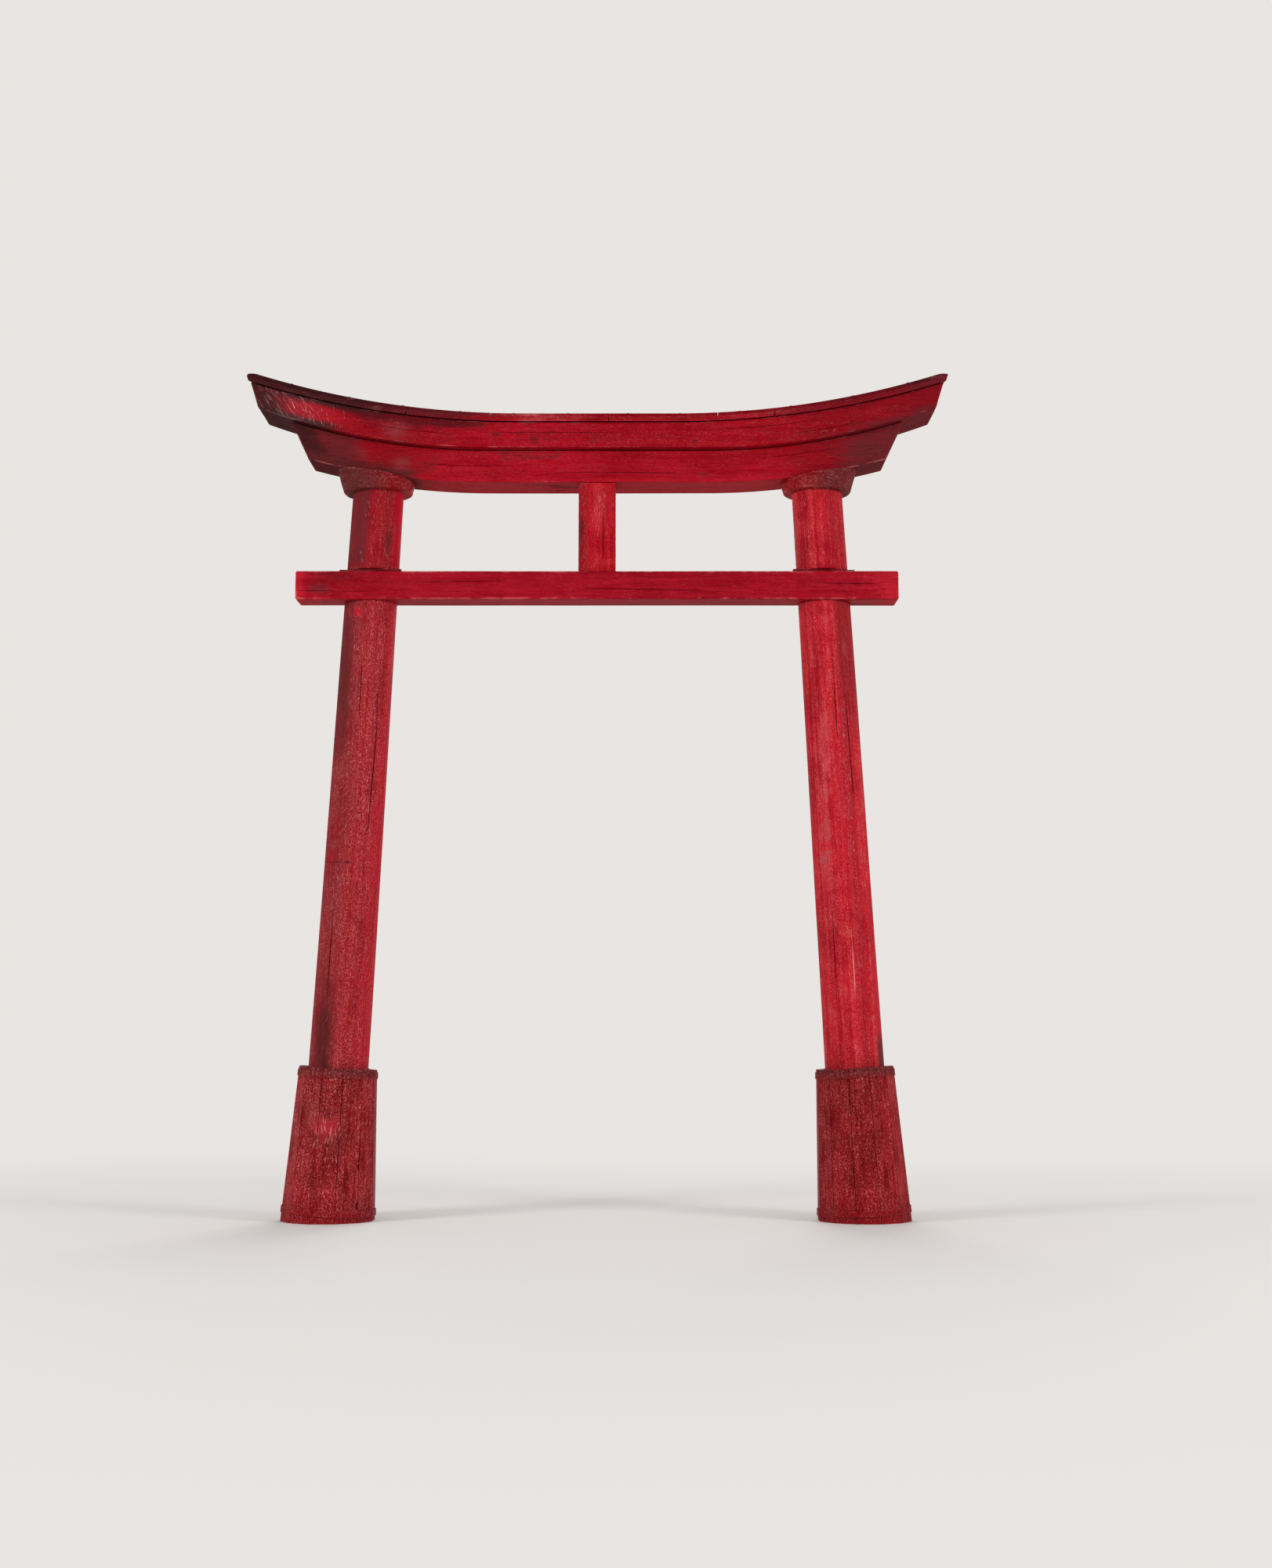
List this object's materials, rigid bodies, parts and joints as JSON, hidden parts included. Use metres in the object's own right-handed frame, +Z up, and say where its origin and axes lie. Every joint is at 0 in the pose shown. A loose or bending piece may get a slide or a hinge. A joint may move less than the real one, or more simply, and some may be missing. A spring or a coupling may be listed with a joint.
{
  "type": "torii gate",
  "caption": "Lacquered timber torii gate with upswept double lintel, leaning round pillars on flared root sleeves, tie beam and centre strut.",
  "frame": {"origin": "on the ground midway between the two pillar feet", "axes": "+Z up, +X along the lintels to the right as seen from the front, the front faces -Y"},
  "size_m": [3.6396, 0.4632, 4.3361],
  "materials": {
    "pillar_lacquer": "satin",
    "sleeve_lacquer": "satin",
    "ring_lacquer": "satin",
    "beam_lacquer": "satin",
    "lintel_lacquer": "satin",
    "roof_lacquer": "satin",
    "key_wood": "satin",
    "hoop_iron": "satin"
  },
  "bodies": {
    "root": {"left_pillar": "pillar_lacquer", "right_pillar": "pillar_lacquer", "left_root_sleeve": "sleeve_lacquer", "right_root_sleeve": "sleeve_lacquer", "left_foot_hoop": "hoop_iron", "right_foot_hoop": "hoop_iron", "left_top_hoop": "hoop_iron", "right_top_hoop": "hoop_iron", "left_pillar_ring": "ring_lacquer", "right_pillar_ring": "ring_lacquer", "left_outer_key": "key_wood", "right_outer_key": "key_wood", "left_inner_key": "key_wood", "right_inner_key": "key_wood", "left_beam_peg": "key_wood", "right_beam_peg": "key_wood", "tie_beam": "beam_lacquer", "centre_strut": "beam_lacquer", "lower_lintel": "lintel_lacquer", "upper_lintel": "lintel_lacquer", "front_roof_board": "roof_lacquer", "back_roof_board": "roof_lacquer", "ridge_cap": "roof_lacquer"}
  },
  "joints": []
}
